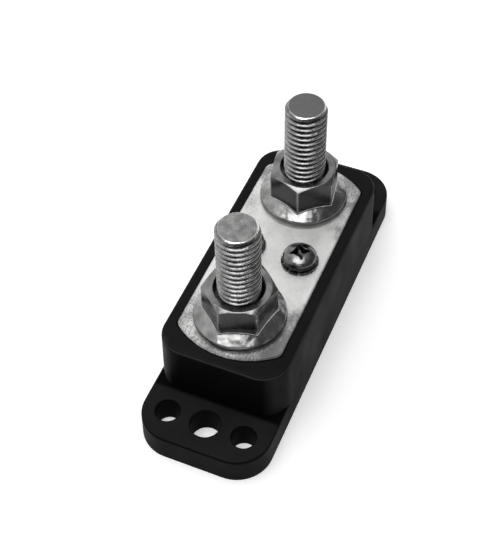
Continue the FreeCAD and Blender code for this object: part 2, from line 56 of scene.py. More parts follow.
# Studs. The slope under the head is in degrees.
STUD_CREST = 4.95
STUD_PITCH = 1.5
STUD_TIP = 4.2
STUD_PLAIN = 3.0
HEAD_APOTHEM = 8.0
HEAD_HEIGHT = 6.4
HEAD_CORNER = 0.5
HEAD_FACE = 7.6
HEAD_SLOPE = 30.0
WASHER_FACE = 7.3
WASHER_FACE_HEIGHT = 0.4
STUD_END_EDGE = 0.12

# Studs' painted shade: how far under the crests the thread starts to darken and over what
# depth, and how far under the end its chamfer is half shaded and its edge left unshaded.
ROOT_SHADE_FROM = 0.34
ROOT_SHADE_OVER = 0.32
CHAMFER_DEPTH = 0.6
CHAMFER_SHADE = 0.45
EDGE_DEPTH = 0.3

# Flange nuts. Slopes, turns and the width of the painted highlight lines at the
# corners are in degrees.
NUT_APOTHEM = 7.5
NUT_CORNER = 0.45
NUT_TOP = 7.3
NUT_TOP_SLOPE = 30.0
NUT_MOUTH = 5.9
NUT_BORE = 5.0
FLANGE_RIM = 10.7
FLANGE_RIM_HEIGHT = 1.7
FLANGE_SLOPE = 28.5
NUT_TURN = {"left": -10.7, "right": 10.4}
NUT_CORNER_HIGHLIGHT = 1.5
# Painted shade on the bore, the flange's rim and the top, 0 bright to 1 dark.
NUT_BORE_SHADE = 0.9
NUT_RIM_SHADE = 0.75
NUT_TOP_SHADE = 0.28

# Terminal screws. The turns of their cross recesses are in degrees.
SCREW_CREST = 2.0
SCREW_PITCH = 0.7
SCREW_TIP = 1.5
SCREW_HEAD = 4.05
SCREW_HEAD_HEIGHT = 3.0
SCREW_HEAD_SIDE = 1.5
CROWN_OUTER = 3.2
CROWN_INNER = 2.95
SCREW_SIDE_SHADE = 0.9
RECESS_SHADE = 0.8
DRIVE_REACH = 2.35
DRIVE_HALF_WIDTH = 0.38
DRIVE_DEPTH = 1.9
DRIVE_WALL = 4
DRIVE_BOWL = 2.6
DRIVE_TURN = {"front": 30.0, "back": 40.0}

# Tooth lock washers: their last two values are in degrees from a tooth's middle.
WASHER_BORE = 2.15
WASHER_RING = 2.9
WASHER_ROOT = 3.5
WASHER_TIP = 4.45
WASHER_TWIST = 0.21
WASHER_TEETH = 10
TOOTH_HALF = 15
TOOTH_CUT = 15.2

# Base, in metres: the block's end and side, the ears' top, how far along the ears' holes lie,
# and each hole's distance from the long middle line and radius.
BLOCK_END = 0.0346
BLOCK_SIDE = 0.0156
EAR_TOP = 0.0072
HOLE_ALONG = 0.041
HOLES = ((0, 0.0036), (0.0094, 0.00293))

# Painted light on the base, in metres: the heights over which a painted highlight comes and goes
# at the rim's edge, and how far in from the block's end and side a painted reflection starts and
# is full at the corners.
RIM_HIGHLIGHT_COMES = (0.02085, 0.0210)
RIM_HIGHLIGHT_GOES = (0.0211, 0.0213)
CORNER_REFLECTION_START = 0.0045
CORNER_REFLECTION_FULL = 0.002

# Mottling and painted shade on the bar, in metres: from the middle to the ends, and painted
# shade towards the front corners.
BAR_TO_END = (0.012, 0.026)
BAR_FRONT_SHADE = (-0.0065, -0.0105)

# Stud finish, in metres: axis from the middle, heights at which the end face and the white
# ring round it, a painted highlight at the burr, begin. The highlight's width and the rings'
# spacing are in millimetres.
STUD_ALONG = 0.02
STUD_END_FACE = (0.05180, 0.05188)
BURR_HIGHLIGHT_HEIGHT = (0.0516, 0.05168)
BURR_HIGHLIGHT_WIDTH = 0.1
RING_SPACING = 0.5

# Angles of the columns, measured from a hexagon corner, a wing of the cross and a tooth.
HEXAGON_SECTOR = (-30, -26, -22, -18, -14, -10, -7, -4.5, -2.5, -1.2, 0,
                  1.2, 2.5, 4.5, 7, 10, 14, 18, 22, 26)
CROSS_SECTOR = (-45, -43, -40, -36, -31, -26, -22, -19, -16.5, -14, -11.5, -9, -6, -3, 0,
                3, 6, 9, 11.5, 14, 16.5, 19, 22, 26, 31, 36, 40, 43)
TOOTH_SECTOR = (-18, -15.6, -15, -12, -8, -4, 0, 4, 8, 12, 15, 15.6)

# Studio light: strength overhead, of the dark side of the room and of its pale side, the
# directions of the overhead light and the pale side, and the horizon's edge.
LIGHT_LEVEL = 2.9
ROOM_LEVEL = 0.13
REAR_LEVEL = 0.84
OVERHEAD_WAY = (-0.15, 0.06, 1)
REAR_WAY = (0.215, 0.678, 0.70)
HORIZON_EDGE = (0.28, 0.14)

# Floor: half side and height in metres, grey, and the white added for the eye and mirrors.
FLOOR_HALF = 3.0
FLOOR_HEIGHT = -0.00003
FLOOR_GREY = 0.86
FLOOR_LIFT = 0.36

# Camera worked out from the photograph.
CAMERA_PLACE = (-0.16872, -0.06748, 0.23389)
CAMERA_TURN = (39.574, 1.03, -67.073)
CAMERA_LENS = 77.243
CAMERA_SENSOR = 36


# ---------------------------------------------------------------- surfaces

def columns(sector, turn):
    """Angles of all columns: the sector's angles repeated all round from turn, in radians.

    The last angle is the first one plus a full turn, so that the surface closes on itself.
    """
    sector = np.array(sector, float)
    copies = round(360 / (sector[-1] - sector[0] + sector[1] - sector[0]))
    angles = (np.arange(copies)[:, None] * 360 / copies + sector[None, :] + turn).ravel()
    return np.radians(np.append(angles, angles[0] + 360))


def from_nearest(angles, turn, step):
    """Signed angle from the nearest of the directions that lie a step apart, from turn on."""
    step = math.radians(step)
    return (angles - math.radians(turn) + step / 2) % step - step / 2


def hexagon_reach(angles, turn, apothem, corner):
    """Distance from the axis to a hexagon with rounded corners, at each angle.

    On a flat it is apothem / cos(angle from the flat's middle). Near a corner it is the far
    crossing of the ray with a circle of radius corner, whose centre is (apothem - corner) /
    cos 30 from the axis: d cos a + sqrt(corner^2 - d^2 sin^2 a).
    """
    off = np.abs(from_nearest(angles, turn, 60))
    centre = (apothem - corner) / math.cos(math.pi / 6)
    edge = math.atan2(corner / 2, centre + corner * math.cos(math.pi / 6))
    flat = apothem / np.cos(math.pi / 6 - off)
    inside = np.maximum(corner ** 2 - (centre * np.sin(off)) ** 2, 0)
    return np.where(off < edge, centre * np.cos(off) + np.sqrt(inside), flat)


def profile(points, angles):
    """Corner points (reach, height) as an array of (point, column, 2).

    Each reach and each height is one number, or one value a column.
    """
    spread = [np.broadcast_arrays(np.asarray(reach, float), np.asarray(height, float), angles)
              for reach, height in points]
    return np.stack([np.stack(found[:2], axis=-1) for found in spread])


def rounded(path, cut):
    """A profile with its inner corners rounded.

    Each corner gives way to the curve start (1 - t)^2 + 2 corner t (1 - t) + end t^2, where
    start and end lie cut from the corner towards its neighbours, or 0.45 of the way at most.
    """
    corner = path[1:-1]
    cut = np.broadcast_to(np.asarray(cut, float), len(corner))[:, None, None]
    back = path[:-2] - corner
    on = path[2:] - corner
    back_length = np.maximum(np.linalg.norm(back, axis=-1, keepdims=True), 1e-9)
    on_length = np.maximum(np.linalg.norm(on, axis=-1, keepdims=True), 1e-9)
    start = corner + back * np.minimum(cut / back_length, 0.45)
    end = corner + on * np.minimum(cut / on_length, 0.45)
    t = np.array([0, 0.3, 0.7, 1])[:, None, None, None]
    curve = start * (1 - t) ** 2 + 2 * corner * t * (1 - t) + end * t ** 2
    curve = curve.swapaxes(0, 1).reshape(-1, path.shape[1], 2)
    return np.concatenate([path[:1], curve, path[-1:]])


def thread(angles, low, high, crest, pitch, tip, tip_up):
    """A right-hand thread from low to high as a profile whose rows run along the helix.

    Row k at angle a stands at low + (turns + share + a / 360 - 1) pitch, held between low and
    high, with reach crest - groove depth. Near the free end the reach is held under a
    45-degree cone that ends at tip; near the other end the groove runs out over one pitch.
    """
    turns = math.ceil((high - low) / pitch) + 2
    along = (np.arange(turns)[:, None] + THREAD_STEPS[None, :, 0]).ravel()[:, None]
    depth = np.tile(THREAD_STEPS[:, 1], turns)[:, None] * THREAD_DEPTH * pitch
    height = low + (along + (angles - angles[0])[None, :] / (2 * math.pi) - 1) * pitch
    height = np.clip(height, low, high)
    to_tip = high - height if tip_up else height - low
    fade = np.clip((height - low if tip_up else high - height) / pitch, 0, 1)
    fade = fade * fade * (3 - 2 * fade)
    reach = np.minimum(crest - depth * fade, tip + to_tip)
    reach = np.where(to_tip <= 1e-9, tip, reach)
    return np.stack([reach, height], axis=-1)


def skin(name, path, tone, angles, centre):
    """A closed surface from a profile carried round the axis at centre.

    Point (row, column) is centre + reach (cos angle, sin angle) at its height. Neighbouring
    rows and columns are joined by four-cornered faces, and points that fall together, at the
    poles, seams and run-outs, are merged. Each point keeps its painted shade, 0 bright to 1 dark.
    """
    reach, height = path[..., 0], path[..., 1]
    points = np.stack([centre[0] + reach * np.cos(angles), centre[1] + reach * np.sin(angles),
                       height], axis=-1) * MM
    index = np.arange(height.size).reshape(height.shape)
    faces = np.stack([index[:-1, :-1], index[:-1, 1:], index[1:, 1:], index[1:, :-1]], axis=-1)
    mesh = bpy.data.meshes.new(name)
    mesh.from_pydata(points.reshape(-1, 3).tolist(), [], faces.reshape(-1, 4).tolist())
    mesh.attributes.new("tone", "FLOAT", "POINT").data.foreach_set(
        "value", tone.astype(np.float32).ravel())
    work = bmesh.new()
    work.from_mesh(mesh)
    bmesh.ops.remove_doubles(work, verts=work.verts, dist=2e-6)
    work.to_mesh(mesh)
    work.free()
    mesh.shade_smooth()
    mesh.set_sharp_from_angle(angle=math.radians(38))
    piece = bpy.data.objects.new(name, mesh)
    bpy.context.scene.collection.objects.link(piece)
    return piece


def place_of(node):
    """Axis (x, y), foot and top of a node, in millimetres."""
    low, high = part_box(node)
    centre = ((low.x + high.x) / 2 / MM, (low.y + high.y) / 2 / MM)
    return centre, low.z / MM, high.z / MM


def dress(piece, body, node, finish):
    """Puts a piece in a node's stead: its body and its finish."""
    piece.data.materials.append(finish)
    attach(piece, body)
    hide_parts(node)


# ---------------------------------------------------------------- pieces

def threaded_stud(side):
    """Stud with its six-sided head below: head, washer face, plain neck, thread, chamfered end.

    The head's reach follows the hexagon, cut under a cone at its foot: height + (reach - face)
    tan 30. All above it is round. The thread carries painted shade, from bright crests to dark
    roots, half of it on the end's chamfer and none on its edge.
    """
    centre, foot, top = place_of("stud_" + side)
    angles = columns(HEXAGON_SECTOR, 0)
    reach = hexagon_reach(angles, 0, HEAD_APOTHEM, HEAD_CORNER)
    seat = foot + HEAD_HEIGHT
    shoulder = seat - WASHER_FACE_HEIGHT
    cut = foot + np.maximum(reach - HEAD_FACE, 0) * math.tan(math.radians(HEAD_SLOPE))
    head = rounded(profile([
        (0, foot), (np.minimum(reach, HEAD_FACE), foot), (reach, cut), (reach, shoulder),
        (WASHER_FACE, shoulder), (WASHER_FACE, seat), (STUD_CREST, seat),
        (STUD_CREST, seat + STUD_PLAIN)], angles), [0.2, 0.15, 0.2, 0.05, 0.1, 0.3])
    body = thread(angles, seat + STUD_PLAIN, top, STUD_CREST, STUD_PITCH, STUD_TIP, True)
    end = profile([(STUD_TIP - STUD_END_EDGE, top), (STUD_TIP * 0.5, top), (0, top)], angles)
    path = np.concatenate([head, body, end])
    # Painted shade: dark in the thread's roots, half on the chamfer, none on the head or the
    # end's edge.
    tone = np.clip((STUD_CREST - ROOT_SHADE_FROM - path[..., 0]) / ROOT_SHADE_OVER, 0, 1)
    tone[:len(head)] = 0
    tone[path[..., 1] > top - CHAMFER_DEPTH] = CHAMFER_SHADE
    tone[path[..., 1] > top - EDGE_DEPTH] = 0
    return skin("threaded_stud_" + side, path, tone, angles, centre)


def flange_nut(side):
    """Six-sided nut on a round flange, as a closed profile that goes round the section.

    The flange falls from the flats to its rim as a cone, 28.5 degrees from level. The top is
    cut under a cone of 30 degrees: height - (reach - top circle) tan 30. The mouths are
    countersunk. Flats, rim and bore carry painted shade, the top less so. The flats' corners
    are painted highlights, bright lines: their painted shade is 1 - exp(-(a / 1.5)^2) at a
    degrees from a corner.
    """
    centre, foot, top = place_of("flange_nut_" + side)
    turn = NUT_TURN[side]
    angles = columns(HEXAGON_SECTOR, turn)
    reach = hexagon_reach(angles, turn, NUT_APOTHEM, NUT_CORNER)
    rim_top = foot + FLANGE_RIM_HEIGHT
    waist = rim_top + (FLANGE_RIM - reach) * math.tan(math.radians(FLANGE_SLOPE))
    shoulder = top - np.maximum(reach - NUT_TOP, 0) * math.tan(math.radians(NUT_TOP_SLOPE))
    mouth = NUT_MOUTH - NUT_BORE
    path = rounded(profile([
        (NUT_BORE, (foot + top) / 2), (NUT_BORE, foot + mouth), (NUT_MOUTH, foot),
        (FLANGE_RIM, foot), (FLANGE_RIM, rim_top), (reach, waist), (reach, shoulder),
        (np.minimum(reach, NUT_TOP), top), (NUT_MOUTH, top), (NUT_BORE, top - mouth),
        (NUT_BORE, (foot + top) / 2)], angles),
        [0.1, 0.1, 0.2, 0.45, 0.35, 0.14, 0.14, 0.12, 0.1])
    # Painted highlight: bright lines at the flats' corners; painted shade on flats, rim, bore and
    # top.
    corner = np.exp(-(from_nearest(angles, turn, 60) / math.radians(NUT_CORNER_HIGHLIGHT)) ** 2)
    flats = np.abs(path[..., 0] - reach) < 1e-6
    rim = (path[..., 0] > FLANGE_RIM - 0.16) & (path[..., 1] > foot + 0.3)
    bore = path[..., 0] < NUT_MOUTH - 0.2
    above = path[..., 1] > shoulder + 0.01
    tone = np.where(flats, 1 - corner, np.where(bore, NUT_BORE_SHADE, np.where(
        rim, NUT_RIM_SHADE, np.where(above, NUT_TOP_SHADE, 0))))
    return skin("forged_nut_" + side, path, tone, angles, centre)


def cross_reach(angles, turn):
    """Distance from the axis to the outline of the cross recess, at each angle.

    A star, reach (cos a^0.8 + sin a^0.8)^-1.25, joined to round-ended wings, ((cos a / reach)^p
    + (sin a / half width)^p)^(-1/p) with p = 3.2, by the eighth root of their eighth powers.
    """
    off = np.abs(from_nearest(angles, turn, 90))
    across, along = np.sin(off), np.cos(off)
    star = DRIVE_REACH * 1.03 * (along ** 0.8 + across ** 0.8) ** -1.25
    wing = ((along / DRIVE_REACH) ** 3.2 + (across / DRIVE_HALF_WIDTH) ** 3.2) ** (-1 / 3.2)
    return np.minimum((star ** 8 + wing ** 8) ** (1 / 8), DRIVE_REACH)


def terminal_screw(place):
    """Pan-head screw: pointed thread, head with a crowned top, and a cross recess.

    The crown is a ball's cap: height - (R - sqrt(R^2 - reach^2)). Rows outside the recess go
    from its outline to a circle in equal shares; rows inside shrink the outline by a share s,
    at the lesser depth of the wall, 4 (1 - s) outline, and the floor, which is a bowl. The
    recess and the lower side of the head carry painted shade.
    """
    centre, foot, top = place_of("terminal_screw_" + place)
    turn = DRIVE_TURN[place]
    angles = columns(CROSS_SECTOR, turn)
    outline = cross_reach(angles, turn)
    seat = top - SCREW_HEAD_HEIGHT
    rise = SCREW_HEAD_HEIGHT - SCREW_HEAD_SIDE
    ball = (SCREW_HEAD ** 2 + rise ** 2) / (2 * rise)

    def crown(reach):
        return top - (ball - np.sqrt(ball ** 2 - reach ** 2))

    point = profile([(0, foot), (SCREW_TIP * 0.6, foot)], angles)
    body = thread(angles, foot, seat, SCREW_CREST, SCREW_PITCH, SCREW_TIP, False)
    side = rounded(profile([
        (SCREW_CREST + 0.05, seat), (SCREW_HEAD, seat), (SCREW_HEAD, seat + SCREW_HEAD_SIDE),
        (CROWN_OUTER, crown(CROWN_OUTER)), (CROWN_INNER, crown(CROWN_INNER))], angles),
        [0.18, 0.5, 0.05])
    share = np.array([0.8, 0.6, 0.4, 0.22, 0.1, 0.03])[:, None]
    reach = outline * (1 - share) + CROWN_INNER * share
    top_face = np.stack([reach, crown(reach)], axis=-1)
    share = np.array([1, 0.985, 0.95, 0.88, 0.78, 0.65, 0.5, 0.35, 0.2, 0.1, 0])[:, None]
    reach = outline * share
    wall = 0.03 + DRIVE_WALL * (1 - share) * outline
    floor = DRIVE_DEPTH * (1 - (reach / DRIVE_BOWL) ** 2)
    recess = np.stack([reach, crown(outline) * share + top * (1 - share)
                       - np.minimum(wall, floor)], axis=-1)
    path = np.concatenate([point, body, side, top_face, recess])
    # Painted shade on the head's lower side and in the recess.
    lower_side = (path[..., 0] > SCREW_HEAD - 0.1) & (path[..., 1] < seat + 1.3)
    tone = np.where(lower_side, SCREW_SIDE_SHADE, 0)
    tone[-len(recess) + 1:] = RECESS_SHADE
    return skin("cross_screw_" + place, path, tone, angles, centre)


def tooth_washer(place):
    """Flat ring with teeth outside, each twisted: one edge up, the other down.

    Outer reach is the tooth's within 15.2 degrees of its middle and the root's in the gaps.
    Height gains twist (a / 15) (reach - ring) / (tip - ring) at a degrees from a tooth's
    middle, held between ring and tip.
    """
    centre, foot, top = place_of("lock_washer_" + place)
    angles = columns(TOOTH_SECTOR, 0)
    off = np.degrees(from_nearest(angles, 0, 360 / WASHER_TEETH))
    outer = np.where(np.abs(off) < TOOTH_CUT, WASHER_TIP, WASHER_ROOT)
    low, high = foot + WASHER_TWIST, top - WASHER_TWIST - 0.02
    path = rounded(profile([
        (WASHER_BORE, (low + high) / 2), (WASHER_BORE, low), (WASHER_RING, low), (outer, low),
        (outer, high), (WASHER_RING, high), (WASHER_BORE, high),
        (WASHER_BORE, (low + high) / 2)], angles), [0.06, 0.1, 0.08, 0.08, 0.1, 0.06])
    lean = np.clip((path[..., 0] - WASHER_RING) / (WASHER_TIP - WASHER_RING), 0, 1)
    path[..., 1] += WASHER_TWIST * lean * np.clip(off / TOOTH_HALF, -1, 1)
    return skin("toothed_washer_" + place, path, np.zeros(path.shape[:2]), angles, centre)


# ---------------------------------------------------------------- finishes

class Finish:
    """A material under way: its nodes, its shader and the Object coordinates."""

    def __init__(self, name, colour, metallic, roughness):
        self.material = bpy.data.materials.new(name)
        self.material.use_nodes = True
        self.nodes = self.material.node_tree.nodes
        self.links = self.material.node_tree.links
        self.shader = self.nodes["Principled BSDF"]
        self.shader.inputs["Base Color"].default_value = (*colour, 1)
        self.shader.inputs["Metallic"].default_value = metallic
        self.shader.inputs["Roughness"].default_value = roughness
        self.place = self.nodes.new("ShaderNodeTexCoord").outputs["Object"]

    def add(self, kind, inputs, **settings):
        """A node with its settings; inputs are by name or number, a value or another's output."""
        node = self.nodes.new(kind)
        for key, value in settings.items():
            setattr(node, key, value)
        for key, value in inputs.items():
            if isinstance(value, bpy.types.NodeSocket):
                self.links.new(value, node.inputs[key])
            else:
                node.inputs[key].default_value = value
        return node

    def noise(self, size, detail=3.0, stretch=(1, 1, 1), rough=0.55):
        """Cloudy noise with lumps of the given size in millimetres, stretched along the axes."""
        vector = self.add("ShaderNodeMapping", {
            "Vector": self.place, "Scale": tuple(1 / s for s in stretch)}).outputs["Vector"]
        return self.add("ShaderNodeTexNoise", {
            "Vector": vector, "Scale": 1 / (size * MM), "Detail": detail,
            "Roughness": rough}).outputs["Fac"]

    def span(self, value, low, high, to_low, to_high):
        """value from low..high carried to to_low..to_high, held at the ends."""
        return self.add("ShaderNodeMapRange", {
            "Value": value, "From Min": low, "From Max": high,
            "To Min": to_low, "To Max": to_high}).outputs["Result"]

    def sums(self, operation, first, second):
        """One sum of two values."""
        return self.add("ShaderNodeMath", {0: first, 1: second},
                        operation=operation).outputs["Value"]

    def grey(self, value, dark, light):
        """Grey between two levels as value goes from 0 to 1."""
        mix = self.add("ShaderNodeMix", {"Factor": value}, data_type="RGBA")
        mix.inputs[6].default_value = (dark, dark, dark * 0.99, 1)
        mix.inputs[7].default_value = (light, light, light * 0.99, 1)
        return mix.outputs[2]

    def tint(self, colour):
        """Base colour from a colour."""
        self.links.new(colour, self.shader.inputs["Base Color"])

    def tone(self):
        """The piece's painted shade, 0 bright to 1 dark."""
        return self.add("ShaderNodeAttribute", {}, attribute_name="tone").outputs["Fac"]

    def with_painted_shade(self, colour, level):
        """A colour that turns to a dark level, painted shade, where the piece's painted shade is
        1.
        """
        mix = self.add("ShaderNodeMix", {"Factor": self.tone()}, data_type="RGBA")
        self.links.new(colour, mix.inputs[6])
        mix.inputs[7].default_value = (level, level, level, 1)
        return mix.outputs[2]

    def gloss(self, value):
        """Roughness from a value."""
        self.links.new(value, self.shader.inputs["Roughness"])

    def bump(self, height, depth, strength=1.0):
        """Relief from a height of 0..1, depth millimetres deep; layers add up."""
        inputs = {"Height": height, "Distance": depth * MM, "Strength": strength}
        socket = self.shader.inputs["Normal"]
        if socket.is_linked:
            inputs["Normal"] = socket.links[0].from_socket
        node = self.add("ShaderNodeBump", inputs)
        self.links.new(node.outputs["Normal"], socket)


def moulded_plastic():
    """Black satin moulding: fine etched grain, slow drift of gloss, faint flow marks.

    The edge of the block's rim is painted paler as a highlight, its upright corners as a painted
    reflection, stronger where y is positive, and, less so, the ears' tops and sides, while the
    walls and the ears' rounded top edges are left dark as painted shade. The holes are painted
    darkest, as shade: a place belongs to a hole where sqrt((|x| - along)^2 + (|y| - across)^2)
    is no more than the hole's radius.
    """
    finish = Finish("moulded_black_plastic", (0.008, 0.008, 0.008), 0, 0.5)
    finish.shader.inputs["Specular IOR Level"].default_value = 0.02
    cloud = finish.noise(9, 3)
    fine = finish.noise(0.22, 2)
    split = finish.add("ShaderNodeSeparateXYZ", {"Vector": finish.place})
    along = finish.sums("ABSOLUTE", split.outputs["X"], 0)
    across = finish.sums("ABSOLUTE", split.outputs["Y"], 0)
    height = split.outputs["Z"]
    # Painted highlight along the edge of the block's rim.
    rim = finish.sums("MULTIPLY", finish.span(height, *RIM_HIGHLIGHT_COMES, 0, 1),
                      finish.span(height, *RIM_HIGHLIGHT_GOES, 1, 0.34))
    # Painted reflection on the block's upright corners, stronger where y is positive.
    near_end = finish.span(along, BLOCK_END - CORNER_REFLECTION_START,
                           BLOCK_END - CORNER_REFLECTION_FULL, 0, 1)
    near_side = finish.span(across, BLOCK_SIDE - CORNER_REFLECTION_START,
                            BLOCK_SIDE - CORNER_REFLECTION_FULL, 0, 1)
    corner = finish.sums("MULTIPLY", near_end, near_side)
    corner = finish.sums("MULTIPLY", corner, finish.span(split.outputs["Y"], -0.01, 0.01, 0.4, 1))
    corner = finish.sums("MULTIPLY", corner, finish.span(height, EAR_TOP, EAR_TOP + 0.0005, 0, 1))
    # Painted light on the ears' tops and sides, their rounded top edge left dark as painted
    # shade.
    ear = finish.sums("MAXIMUM", finish.span(height, EAR_TOP - 0.0003, EAR_TOP - 0.0001, 0, 0.42),
                      finish.span(height, EAR_TOP - 0.0007, EAR_TOP - 0.0009, 0, 0.24))
    past_block = finish.span(along, BLOCK_END + 0.0002, BLOCK_END + 0.001, 0, 1)
    ear = finish.sums("MULTIPLY", ear, past_block)
    painted_light = finish.sums("MAXIMUM", finish.sums("MAXIMUM", rim, ear), corner)
    # Painted shade: the holes are set darkest.
    for place, radius in HOLES:
        off_x = finish.sums("SUBTRACT", along, HOLE_ALONG)
        off_y = finish.sums("SUBTRACT", across, place)
        square = finish.sums("ADD", finish.sums("MULTIPLY", off_x, off_x),
                             finish.sums("MULTIPLY", off_y, off_y))
        outside = finish.span(finish.sums("SQRT", square, 0), radius, radius + 0.0002, 0, 1)
        painted_light = finish.sums("MULTIPLY", painted_light, outside)
        cloud = finish.sums("MULTIPLY", cloud, outside)
    finish.tint(finish.grey(finish.sums(
        "MULTIPLY", painted_light, finish.span(cloud, 0.35, 0.65, 0.8, 1.1)), 0.0022, 0.032))
    finish.gloss(finish.sums("ADD", finish.span(cloud, 0.25, 0.7, 0.56, 0.44),
                             finish.span(fine, 0.3, 0.7, -0.03, 0.03)))
    finish.bump(fine, 0.012, 0.5)
    finish.bump(finish.noise(3.5, 2), 0.03, 0.25)
    return finish.material


def tin_plate():
    """Tin-plated bar: pale and matt in the middle, cloudier and more speckled to its ends.

    The change to the ends goes with |x|, from 12 to 26 mm, plus a little of the cloud. Towards
    the ends the bar is also painted darker as shade, most at the front corners, at y under -6.5
    mm.
    """
    finish = Finish("tin_plated_bar", (0.75, 0.75, 0.74), 1, 0.5)
    split = finish.add("ShaderNodeSeparateXYZ", {"Vector": finish.place})
    cloud = finish.noise(4.5, 4, (1.3, 1, 1), 0.6)
    to_end = finish.span(finish.sums("ADD", finish.sums("ABSOLUTE", split.outputs["X"], 0),
                                     finish.span(cloud, 0.3, 0.7, -0.005, 0.005)),
                         *BAR_TO_END, 0, 1)
    speck = finish.noise(0.42, 3, (1.2, 1, 1), 0.75)
    rolled = finish.noise(0.16, 2, (14, 1, 1))
    clouds = finish.sums("MULTIPLY", finish.span(cloud, 0.42, 0.68, 0, 1),
                         finish.span(to_end, 0, 1, 0.2, 0.6))
    specks = finish.sums("MULTIPLY", finish.span(speck, 0.46, 0.64, 0, 1),
                         finish.span(to_end, 0, 1, 0.1, 0.9))
    # Painted shade: darker towards the ends, most towards the front corners.
    front_shade = finish.span(split.outputs["Y"], *BAR_FRONT_SHADE, 0.1, 0.75)
    mottle_and_shade = finish.sums("ADD", finish.sums("ADD", clouds, specks),
                       finish.sums("MULTIPLY", to_end, front_shade))
    finish.tint(finish.grey(mottle_and_shade, 0.86, 0.28))
    finish.gloss(finish.sums("ADD", finish.span(to_end, 0, 1, 0.56, 0.38),
                             finish.span(speck, 0.3, 0.7, -0.06, 0.10)))
    finish.bump(cloud, 0.06, 0.4)
    finish.bump(speck, 0.010, 0.6)
    finish.bump(rolled, 0.005, 0.3)
    return finish.material


def nut_steel():
    """Bright stainless nut: smooth forged faces, a little wavy, with fine wiping marks."""
    finish = Finish("bright_nut_steel", (0.45, 0.45, 0.445), 1, 0.22)
    cloud = finish.noise(3.6, 2.5)
    fine = finish.noise(0.25, 3, (1, 1, 2.2), 0.65)
    steel_grey = finish.grey(finish.span(cloud, 0.34, 0.64, 0, 1), 0.23, 0.42)
    # Painted shade: the colour darkens where the piece's painted shade is high.
    finish.tint(finish.with_painted_shade(steel_grey, 0.060))
    finish.gloss(finish.sums("ADD", finish.span(cloud, 0.3, 0.7, 0.16, 0.26),
                             finish.span(fine, 0.3, 0.7, -0.03, 0.05)))
    finish.bump(finish.sums("MULTIPLY", finish.noise(3.0, 1.5), finish.sums(
        "SUBTRACT", 1.0, finish.tone())), 0.55, 0.6)
    finish.bump(fine, 0.0012, 0.4)
    return finish.material


def stud_steel():
    """Stainless rolled thread with turned end faces: faint rings on the left stud's end.

    The rings are a wave of the distance sqrt((|x| - 20)^2 + y^2) from the axis. The right
    stud's end has no rings and is painted darker, as shade. A white ring round each end, at
    the burr, is a painted highlight.
    """
    finish = Finish("rolled_stud_steel", (0.45, 0.45, 0.445), 1, 0.26)
    cloud = finish.noise(1.8, 3)
    fine = finish.noise(0.2, 3, (1, 1, 0.6), 0.65)
    split = finish.add("ShaderNodeSeparateXYZ", {"Vector": finish.place})
    across = finish.sums("SUBTRACT", finish.sums("ABSOLUTE", split.outputs["X"], 0),
                         STUD_ALONG)
    square = finish.sums("ADD", finish.sums("MULTIPLY", across, across),
                         finish.sums("MULTIPLY", split.outputs["Y"], split.outputs["Y"]))
    radius = finish.sums("SQRT", square, 0)
    right = finish.span(split.outputs["X"], -0.01, 0.01, 0, 1)
    ends = finish.span(split.outputs["Z"], *STUD_END_FACE, 0, 1)
    # Painted shade: the right stud's end face is set darker, without rings.
    shaded_right_end = finish.sums("MULTIPLY", ends, right)
    level = finish.sums("SUBTRACT", finish.span(cloud, 0.36, 0.64, 0.45, 1.0),
                        finish.sums("MULTIPLY", shaded_right_end, 2.0))
    level = finish.sums("MAXIMUM", level, finish.sums(
        "MULTIPLY", shaded_right_end, finish.span(cloud, 0.3, 0.7, 0.24, 0.30)))
    wave = finish.sums("SINE", finish.sums(
        "MULTIPLY", radius, 2 * math.pi / (RING_SPACING * MM)), 0)
    left = finish.sums("SUBTRACT", ends, shaded_right_end)
    faded = finish.sums("MULTIPLY", left, finish.span(finish.noise(2.4, 1), 0.42, 0.6, 0.15, 1))
    rings = finish.sums("MULTIPLY", wave, faded)
    level = finish.sums("ADD", level, finish.sums("MULTIPLY", rings, 0.22))
    # Painted highlight: a white ring round the end's edge, at the burr.
    edge = finish.sums(
        "MULTIPLY", finish.span(split.outputs["Z"], *BURR_HIGHLIGHT_HEIGHT, 0, 1),
        finish.span(radius, (STUD_TIP - BURR_HIGHLIGHT_WIDTH) * MM, STUD_TIP * MM, 0, 1))
    burr_highlight = finish.add("ShaderNodeMix", {"Factor": edge}, data_type="RGBA")
    finish.links.new(finish.grey(level, 0.10, 0.42), burr_highlight.inputs[6])
    burr_highlight.inputs[7].default_value = (1, 1, 0.99, 1)
    finish.tint(finish.with_painted_shade(burr_highlight.outputs[2], 0.035))
    finish.gloss(finish.sums("ADD", finish.span(cloud, 0.3, 0.7, 0.17, 0.28),
                             finish.span(fine, 0.3, 0.7, -0.03, 0.05)))
    finish.bump(fine, 0.0015, 0.4)
    finish.bump(rings, 0.016, 1.0)
    finish.bump(finish.sums("MULTIPLY", finish.noise(0.9, 2, (1, 1, 2.5)),
                            finish.sums("SUBTRACT", 1.0, ends)), 0.14, 0.6)
    return finish.material


def screw_nickel():
    """Dark nickel-plated screw: smooth, slightly uneven, painted dark in the recess and on the
    head's lower side as shade.
    """
    finish = Finish("nickel_plated_screw", (0.22, 0.22, 0.215), 1, 0.24)
    cloud = finish.noise(1.5, 3)
    fine = finish.noise(0.2, 3)
    nickel_grey = finish.grey(finish.span(cloud, 0.3, 0.7, 0, 1), 0.13, 0.30)
    finish.tint(finish.with_painted_shade(nickel_grey, 0.014))
    finish.gloss(finish.sums("ADD", finish.span(cloud, 0.3, 0.7, 0.15, 0.24),
                             finish.span(fine, 0.3, 0.7, -0.02, 0.04)))
    finish.bump(cloud, 0.09, 0.45)
    finish.bump(fine, 0.0012, 0.35)
    return finish.material


